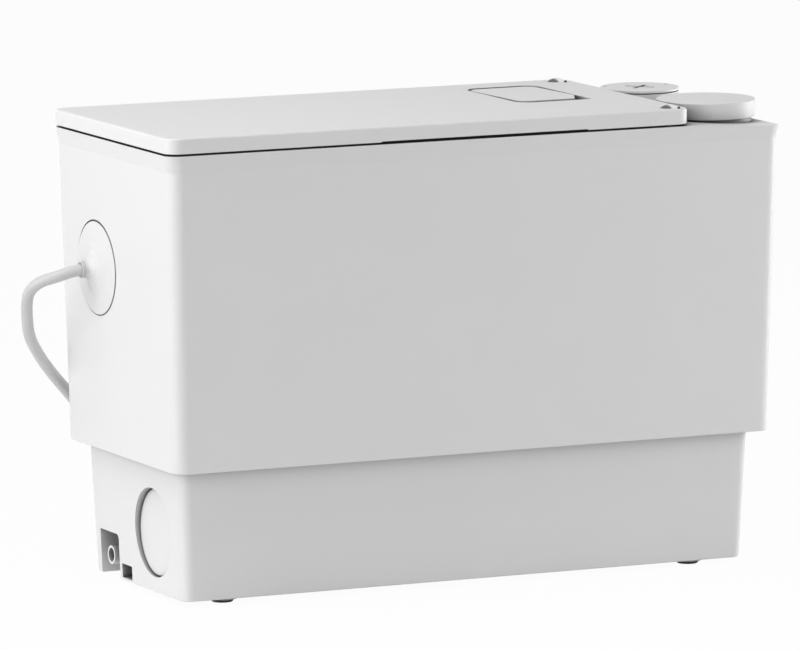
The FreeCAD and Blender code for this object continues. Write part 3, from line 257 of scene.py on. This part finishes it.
PLUG_AXIS = Vector((plug_start.x - PLUG_REACH, plug_start.y, 0))
plug_form = bmesh.new()
add_lathe(plug_form, [(0, 0.9), (13.0, 0.6), (17.0, 1.4), (18.4, 3.2), (18.9, 6.0), (18.9, 8.2),
                      (18.3, 8.9), (18.3, 10.1), (18.9, 10.8), (19.0, 22.9), (18.5, 23.8),
                      (17.3, 23.8), (16.6, 22.9), (16.5, 22.3), (0, 22.3)], PLUG_AXIS)
for dy in (-PIN_OFFSET, PIN_OFFSET):
    add_lathe(plug_form, [(2.45, PLUG_FACE), (4.6, PLUG_FACE), (4.3, 23.2), (2.45, 23.2)],
              PLUG_AXIS + Vector((0, dy, 0)), steps=32)
add_lathe(plug_form, [(0, PLUG_FACE), (1.9, PLUG_FACE), (1.9, 22.7), (0, 22.7)], PLUG_AXIS,
          steps=24)
guard = [(GUARD_BORE, GUARD_START), (GUARD_THIN, GUARD_START)]
for i in range(GUARD_RIBS):
    along = 1.0 + GUARD_PITCH * i
    outer = GUARD_THIN + (GUARD_THICK - GUARD_THIN) * along / GUARD_TAPER
    guard += [(outer, along), (outer, along + 2.2),
              (outer - 0.7, along + 2.5), (outer - 0.7, along + 3.3)]
guard += [(GUARD_THICK, 30.5), (GUARD_THICK, GUARD_END), (GUARD_BORE, GUARD_END), guard[0]]
add_lathe(plug_form, guard, plug_start, (-1, 0, 0), steps=40)
plug = from_bmesh("mains_plug_housing", plug_form)
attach(plug, "housing")
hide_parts("mains_plug")

# Its two round pins, and the earth strip on each side
pin_form = bmesh.new()
for dy in (-PIN_OFFSET, PIN_OFFSET):
    add_lathe(pin_form, [(2.4, PLUG_FACE), (2.4, 39.4), (2.1, 40.4), (1.2, 40.95), (0, 41.0)],
              PLUG_AXIS + Vector((0, dy, 0)), steps=32)
for dx in (-1, 1):
    low, high = sorted((dx * 18.55, dx * 19.0))
    add_block(pin_form, (PLUG_AXIS.x + low, PLUG_AXIS.y - 3.0, 12.0),
              (PLUG_AXIS.x + high, PLUG_AXIS.y + 3.0, 23.6), 0.15)
pins = from_bmesh("mains_plug_pins", pin_form)
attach(pins, "housing")


# Black pin beside each lid screw

STUB_X = 122.5
STUB_Y = 71.0
STUB_SHIFT = -6.2

pin_stubs = bmesh.new()
for side in (-1, 1):
    add_lathe(pin_stubs, [(0, 258.6), (0.75, 258.6), (0.75, 260.5), (0.55, 260.8), (0, 260.85)],
              (STUB_X, STUB_Y * side + STUB_SHIFT, 0), steps=24)
stubs = from_bmesh("lid_screw_pins", pin_stubs)
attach(stubs, "lid_body")


# Wires inside the casing, from the control box to the motor, the capacitor and the switch

WIRE_RADIUS = 1.1
WIRE_STEP = 2.6
BOX_TOP = 159.8


def wire(name, points):
    thing = strand(name, points, WIRE_RADIUS)
    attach(thing, "housing")
    return thing


wires = []
for i in range(3):
    lift = WIRE_STEP * i
    wires.append(wire(f"motor_wire_{i}", [
        (-110, 10 + lift, BOX_TOP), (-110, 10 + lift, 172), (-104, 11 + lift, 186),
        (-88, 10 + lift, 196), (-72, 8 + lift, 203), (-62, 7 + lift, 203),
        (-59, 7 + lift, 196.5)]))
for i in range(2):
    lift = WIRE_STEP * i
    wires.append(wire(f"capacitor_wire_{i}", [
        (-112, 34 + lift, BOX_TOP), (-112, 35 + lift, 170), (-100, 48 + lift, 176),
        (-70, 59, 174 + lift), (-30, 62, 170 + lift), (4, 56, 160 + lift),
        (14, 44, 146 + lift), (13, 36 + 3 * i, 130 + lift), (18.2, 33 + lift, 124)]))
for i in range(2):
    lift = WIRE_STEP * i
    wires.append(wire(f"switch_wire_{i}", [
        (-112, -34 - lift, BOX_TOP), (-112, -36 - lift, 170), (-98, -50, 176 + lift),
        (-60, -59, 174 + lift), (-10, -62, 168 + lift), (40, -62, 158 + lift),
        (70, -59, 140 + lift), (82 + lift, -57, 124), (84 + lift, -52.5, 114)]))

# A rubber entry at the ends of each group: three on the box, then motor, switch and capacitor
entry = bmesh.new()
for x, y in ((-110, 12.6), (-112, 35.3), (-112, -35.3)):
    add_block(entry, (x - 5, y - 7, 159.7), (x + 5, y + 7, 162.2), 0.8)
add_lathe(entry, [(0, 0), (8.5, 0), (8.5, 2.2), (6, 4.2), (0, 4.2)], (-59, 9.6, 193.6),
          (-0.25, 0, 1), 32)
add_block(entry, (78, -56.5, 112.2), (94, -52.6, 116.5), 0.5)
add_lathe(entry, [(0, 0), (13, 0), (13, 3.0), (0, 3.0)], (17.9, 35, 121), (-1, 0, 0), 40)
entries = from_bmesh("wire_entries", entry)
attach(entries, "housing")


# Clips with a screw lug, at both ends of the pressure hose and on the rising pipe

CLIP_HEIGHT = 6
HOSE_CLIP = (4.62, 5.3)
PIPE_CLIP = (13.02, 13.9)

clips = bmesh.new()
for x, y, low, (inner, outer) in ((40, -36, 111.5, HOSE_CLIP), (88, -30, 141.6, HOSE_CLIP),
                                  (150.5, 41, 138.5, PIPE_CLIP)):
    high = low + CLIP_HEIGHT
    add_lathe(clips, [(inner, low), (outer, low), (outer, high), (inner, high), (inner, low)],
              (x, y, 0), steps=48)
    add_block(clips, (x - outer - 3.5, y - 2.5, low + 0.5),
              (x - outer + 0.3, y + 2.5, low + 5.5), 0.5)
hose_clips = from_bmesh("hose_clips", clips)
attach(hose_clips, "housing")


# Cooling fins round the motor

MOTOR_AXIS = (-40, 8, 0)
FIN_ROOT = 44.9
FIN_TIP = 45.7
FIN_LOW = 118
FIN_PITCH = 8
FIN_COUNT = 9

fins = bmesh.new()
for i in range(FIN_COUNT):
    low = FIN_LOW + FIN_PITCH * i
    add_lathe(fins, [(FIN_ROOT, low), (FIN_TIP, low + 0.4), (FIN_TIP, low + 1.8),
                     (FIN_ROOT, low + 2.2), (FIN_ROOT, low)], MOTOR_AXIS, steps=96)
motor_fins = from_bmesh("motor_fins", fins)
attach(motor_fins, "housing")


# Ribs along both edges of the tank cover

ribs = bmesh.new()
for side in (-1, 1):
    for x0, x1 in ((-153, -62), (-42, 42), (62, 112)):
        low, high = sorted((side * 61.0, side * 62.6))
        add_block(ribs, (x0, low, 101.1), (x1, high, 104.4), 0.3)
cover_ribs = from_bmesh("tank_cover_ribs", ribs)
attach(cover_ribs, "housing")


# Ribs under the tank, and a ring round each foot

RIB_HALF = 0.8
UNDER_LOW = 1.7
UNDER_HIGH = 3.2
FOOT_X = 142.4
FOOT_Y = 48.7

under = bmesh.new()
for y in (-26, 0, 26):
    add_block(under, (-128, y - RIB_HALF, UNDER_LOW), (128, y + RIB_HALF, UNDER_HIGH), 0.3)
for x in (-96, -48, 0, 48, 96):
    add_block(under, (x - RIB_HALF, -42, UNDER_LOW), (x + RIB_HALF, 42, UNDER_HIGH), 0.3)
for sx in (-1, 1):
    for sy in (-1, 1):
        add_lathe(under, [(7.0, 1.8), (8.2, 1.8), (8.2, UNDER_HIGH), (7.0, UNDER_HIGH),
                          (7.0, 1.8)], (FOOT_X * sx, FOOT_Y * sy, 0), steps=40)
under_ribs = from_bmesh("tank_under_ribs", under)
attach(under_ribs, "housing")


# Materials

def add_node(tree, kind, **values):
    """A node with its settings, or the values of its inputs, by name."""
    made = tree.nodes.new(kind)
    for key, value in values.items():
        if hasattr(made, key):
            setattr(made, key, value)
        else:
            made.inputs[key.replace("_", " ")].default_value = value
    return made


def link(tree, source, target):
    tree.links.new(source, target)


def slide(tree, value, start, end, low, high):
    """A number that goes from low to high as a value goes from start to end."""
    made = add_node(tree, "ShaderNodeMapRange", From_Min=start, From_Max=end, To_Min=low,
                    To_Max=high)
    link(tree, value, made.inputs["Value"])
    return made.outputs["Result"]


def larger(tree, first, second):
    """The larger one of two numbers."""
    made = add_node(tree, "ShaderNodeMath", operation="MAXIMUM")
    link(tree, first, made.inputs[0])
    link(tree, second, made.inputs[1])
    return made.outputs["Value"]


def mixed(tree, share, first, second):
    """One shader, and by its share another one."""
    made = add_node(tree, "ShaderNodeMixShader")
    link(tree, share, made.inputs["Fac"])
    link(tree, first, made.inputs[1])
    link(tree, second, made.inputs[2])
    return made.outputs["Shader"]


# Values of the noise between which the colour patches and the gloss change
NOISE_LOW = 0.3
NOISE_HIGH = 0.7
LEAST_ROUGHNESS = 0.02
SHADE_SAMPLES = 6


def surface(name, colour, roughness, metallic=0.0, tint=0.02, patch=25.0, grain=900.0,
            bump=0.08, depth=0.00003, rough_spread=0.06, stretch=(1, 1, 1), coat=0.0, painted_shades=()):
    """A material with slight colour patches, uneven gloss, a fine surface texture and painted
    shade.

    Each painted shade is (reach, closed, opened, least): ambient occlusion darkens the base
    colour, so that corners and gaps narrower than the reach are painted darker, down to least
    where the surface is as closed as the second number.
    """
    mat = bpy.data.materials.new(name)
    mat.use_nodes = True
    tree = mat.node_tree
    shader = tree.nodes["Principled BSDF"]
    shader.inputs["Metallic"].default_value = metallic
    shader.inputs["Coat Weight"].default_value = coat
    where = add_node(tree, "ShaderNodeTexCoord")
    sized = add_node(tree, "ShaderNodeMapping", Scale=stretch)
    link(tree, where.outputs["Object"], sized.inputs["Vector"])

    cloud = add_node(tree, "ShaderNodeTexNoise", Scale=patch, Detail=4.0, Roughness=0.55)
    link(tree, sized.outputs["Vector"], cloud.inputs["Vector"])
    cloudy = add_node(tree, "ShaderNodeValToRGB")
    low, high = cloudy.color_ramp.elements
    low.position = NOISE_LOW
    high.position = NOISE_HIGH
    low.color = (*[c * (1 - tint) for c in colour], 1)
    high.color = (*[min(1, c * (1 + tint)) for c in colour], 1)
    link(tree, cloud.outputs["Fac"], cloudy.inputs["Fac"])
    tone = cloudy.outputs["Color"]
    # Painted shade: ambient occlusion multiplies the base colour darker in corners, gaps and
    # recesses.
    for reach, closed, opened, least in painted_shades:
        near = add_node(tree, "ShaderNodeAmbientOcclusion", samples=SHADE_SAMPLES, Distance=reach)
        painted_dim = add_node(tree, "ShaderNodeMix", data_type="RGBA", blend_type="MULTIPLY")
        painted_dim.inputs["Factor"].default_value = 1.0
        link(tree, tone, painted_dim.inputs[6])
        link(tree, slide(tree, near.outputs["AO"], closed, opened, least, 1.0), painted_dim.inputs[7])
        tone = painted_dim.outputs[2]
    link(tree, tone, shader.inputs["Base Color"])

    gloss = slide(tree, cloud.outputs["Fac"], NOISE_LOW, NOISE_HIGH,
                  max(LEAST_ROUGHNESS, roughness - rough_spread),
                  min(1, roughness + rough_spread))
    link(tree, gloss, shader.inputs["Roughness"])
    fine = add_node(tree, "ShaderNodeTexNoise", Scale=grain, Detail=3.0, Roughness=0.6)
    link(tree, sized.outputs["Vector"], fine.inputs["Vector"])
    raised = add_node(tree, "ShaderNodeBump", Strength=bump, Distance=depth)
    link(tree, fine.outputs["Fac"], raised.inputs["Height"])
    link(tree, raised.outputs["Normal"], shader.inputs["Normal"])
    return mat


def paint(thing, mat):
    thing.data.materials.clear()
    thing.data.materials.append(mat)


WHITE = (0.80, 0.80, 0.80)
# Painted shade for the white parts: a wide and a close ambient occlusion darken their base colour
# in corners, gaps and recesses.
WIDE_PAINTED_SHADE = (0.02, 0.2, 0.8, 0.15)
CLOSE_PAINTED_SHADE = (0.003, 0.35, 0.95, 0.4)
GLAND_PAINTED_SHADE = (0.035, 0.3, 0.95, 0.2)

white_shell = surface("white_shell", WHITE, 0.42, tint=0.008, patch=14, grain=1500, bump=0.05,
                      painted_shades=(WIDE_PAINTED_SHADE, CLOSE_PAINTED_SHADE))
# The cable gland's white, with stronger painted shade that darkens its neck and the root of its
# flare.
gland_white_painted_shade = surface("gland_white_painted_shade", WHITE, 0.42, tint=0.008, patch=14, grain=1500, bump=0.05,
                      painted_shades=(GLAND_PAINTED_SHADE,))
cable_sheath = surface("cable_sheath", (0.62, 0.62, 0.62), 0.42, tint=0.02, grain=500, bump=0.1)
rubber = surface("rubber", (0.022, 0.022, 0.022), 0.72, tint=0.2, patch=120, grain=1500, bump=0.3)
grey_plastic = surface("grey_plastic", (0.30, 0.31, 0.32), 0.45, tint=0.04, patch=40, bump=0.15)
steel = surface("steel", (0.72, 0.72, 0.73), 0.14, metallic=1.0, tint=0.05, patch=200,
                grain=1200, bump=0.04, rough_spread=0.04)
chrome = surface("chrome", (0.93, 0.93, 0.94), 0.12, metallic=1.0, tint=0.03, patch=200,
                 grain=1200, bump=0.04, rough_spread=0.04)
copper = surface("copper", (0.60, 0.24, 0.09), 0.32, metallic=1.0, tint=0.2, patch=500,
                 grain=1500, bump=0.4, stretch=(1, 1, 5))
motor_paint = surface("motor_paint", (0.035, 0.038, 0.042), 0.45, tint=0.15, patch=60, bump=0.3)
cast = surface("cast", (0.52, 0.52, 0.53), 0.5, metallic=1.0, tint=0.06, patch=120, grain=700,
               bump=0.45, depth=0.0001)
board_green = surface("board_green", (0.02, 0.16, 0.055), 0.3, tint=0.25, patch=160, grain=600,
                      bump=0.3, coat=0.3)
foam = surface("foam", (0.016, 0.016, 0.017), 0.9, tint=0.5, patch=500, grain=420, bump=1.0,
               depth=0.0006)

wire_jackets = [
    surface("brown_jacket", (0.16, 0.07, 0.035), 0.4, tint=0.05, grain=500, bump=0.1),
    surface("blue_jacket", (0.03, 0.11, 0.32), 0.4, tint=0.05, grain=500, bump=0.1),
    surface("black_jacket", (0.02, 0.02, 0.02), 0.4, tint=0.1, grain=500, bump=0.1),
]

SLOT_LOOKS = {
    "white_shell": white_shell,
    "grey_plastic": grey_plastic,
    "black_rubber": rubber,
    "grey_cable": cable_sheath,
    "steel_fixings": steel,
    "copper_winding": copper,
    "motor_paint": motor_paint,
    "cast_metal": cast,
    "green_board": board_green,
    "carbon_foam": foam,
}
for row in frame["record"]["subparts"]:
    paint(NODES[row["node"]], SLOT_LOOKS[row["material_slot"]])
paint(NODES["cable_gland"], gland_white_painted_shade)
paint(NODES["lid_screws"], chrome)
for piece, look in ((cable, cable_sheath), (plug, cable_sheath), (pins, steel),
                    (entries, rubber), (stubs, rubber), (hose_clips, steel),
                    (motor_fins, motor_paint), (cover_ribs, grey_plastic),
                    (under_ribs, white_shell)):
    paint(piece, look)
for i, piece in enumerate(wires):
    paint(piece, wire_jackets[i % len(wire_jackets)])


# Stage: pale floor, soft studio light

FLOOR_SIZE = 40
FLOOR_GLOW = 0.96
SOFT_LIGHT = 0.345
AIM_HEIGHT = 0.15


def stage_floor():
    """A pale floor that the camera sees nearly white, and that keeps the shadow."""
    bm = bmesh.new()
    bmesh.ops.create_grid(bm, x_segments=1, y_segments=1, size=FLOOR_SIZE)
    floor = from_bmesh("floor", bm)
    mat = bpy.data.materials.new("floor")
    mat.use_nodes = True
    tree = mat.node_tree
    shader = tree.nodes["Principled BSDF"]
    shader.inputs["Base Color"].default_value = (*WHITE, 1)
    shader.inputs["Roughness"].default_value = 0.8
    shader.inputs["Specular IOR Level"].default_value = 0.1
    glow = add_node(tree, "ShaderNodeEmission", Strength=1.0)
    glow.inputs["Color"].default_value = (1, 1, 1, 1)
    path = add_node(tree, "ShaderNodeLightPath")
    share = add_node(tree, "ShaderNodeMath", operation="MULTIPLY")
    share.inputs[1].default_value = FLOOR_GLOW
    link(tree, larger(tree, path.outputs["Is Camera Ray"], path.outputs["Is Glossy Ray"]),
         share.inputs[0])
    link(tree, mixed(tree, share.outputs["Value"], shader.outputs["BSDF"],
                     glow.outputs["Emission"]),
         tree.nodes["Material Output"].inputs["Surface"])
    paint(floor, mat)
    floor.visible_shadow = False


def studio_world():
    """An even soft light, seen white. Shiny parts mirror a white horizon and a white
    right-hand wall under a darker ceiling."""
    world = bpy.data.worlds.new("studio")
    bpy.context.scene.world = world
    world.use_nodes = True
    tree = world.node_tree
    soft = tree.nodes["Background"]
    soft.inputs["Color"].default_value = (1, 1, 1, 1)
    soft.inputs["Strength"].default_value = SOFT_LIGHT
    seen = add_node(tree, "ShaderNodeBackground")
    path = add_node(tree, "ShaderNodeLightPath")
    heading = add_node(tree, "ShaderNodeTexCoord")
    parts = add_node(tree, "ShaderNodeSeparateXYZ")
    link(tree, heading.outputs["Generated"], parts.inputs["Vector"])
    ceiling = slide(tree, parts.outputs["Z"], 0.25, 0.6, 1.0, 0.2)
    wall = slide(tree, parts.outputs["X"], 0.2, 0.4, 0.0, 1.0)
    clear = larger(tree, path.outputs["Is Camera Ray"], path.outputs["Is Transmission Ray"])
    link(tree, larger(tree, clear, larger(tree, wall, ceiling)), seen.inputs["Strength"])
    link(tree, mixed(tree, larger(tree, clear, path.outputs["Is Glossy Ray"]),
                     soft.outputs["Background"], seen.outputs["Background"]),
         tree.nodes["World Output"].inputs["Surface"])


def panel(name, direction, distance, strength, size):
    """A square soft box that faces the unit from a direction; strength as for a sun."""
    data = bpy.data.lights.new(name, "AREA")
    data.shape = "SQUARE"
    data.size = size
    data.energy = strength * math.pi ** 2 * distance ** 2
    lamp = bpy.data.objects.new(name, data)
    bpy.context.scene.collection.objects.link(lamp)
    aim = Vector(direction).normalized()
    place = aim * distance + Vector((0, 0, AIM_HEIGHT))
    lamp.matrix_world = Matrix.Translation(place) @ turn_to(aim)
    lamp.visible_camera = False


stage_floor()
studio_world()
panel("key", (-0.96, -0.17, 0.16), 2.4, 0.465, 1.8)
panel("right", (1.0, 0.0, 0.1), 1.6, 0.38, 0.6)
panel("fill", (0.8, -0.6, 0.1), 0.9, 0.165, 0.6)
panel("top", (-0.55, -0.1, 1.0), 1.2, 0.50, 0.8)

bpy.context.scene.view_settings.view_transform = "Standard"
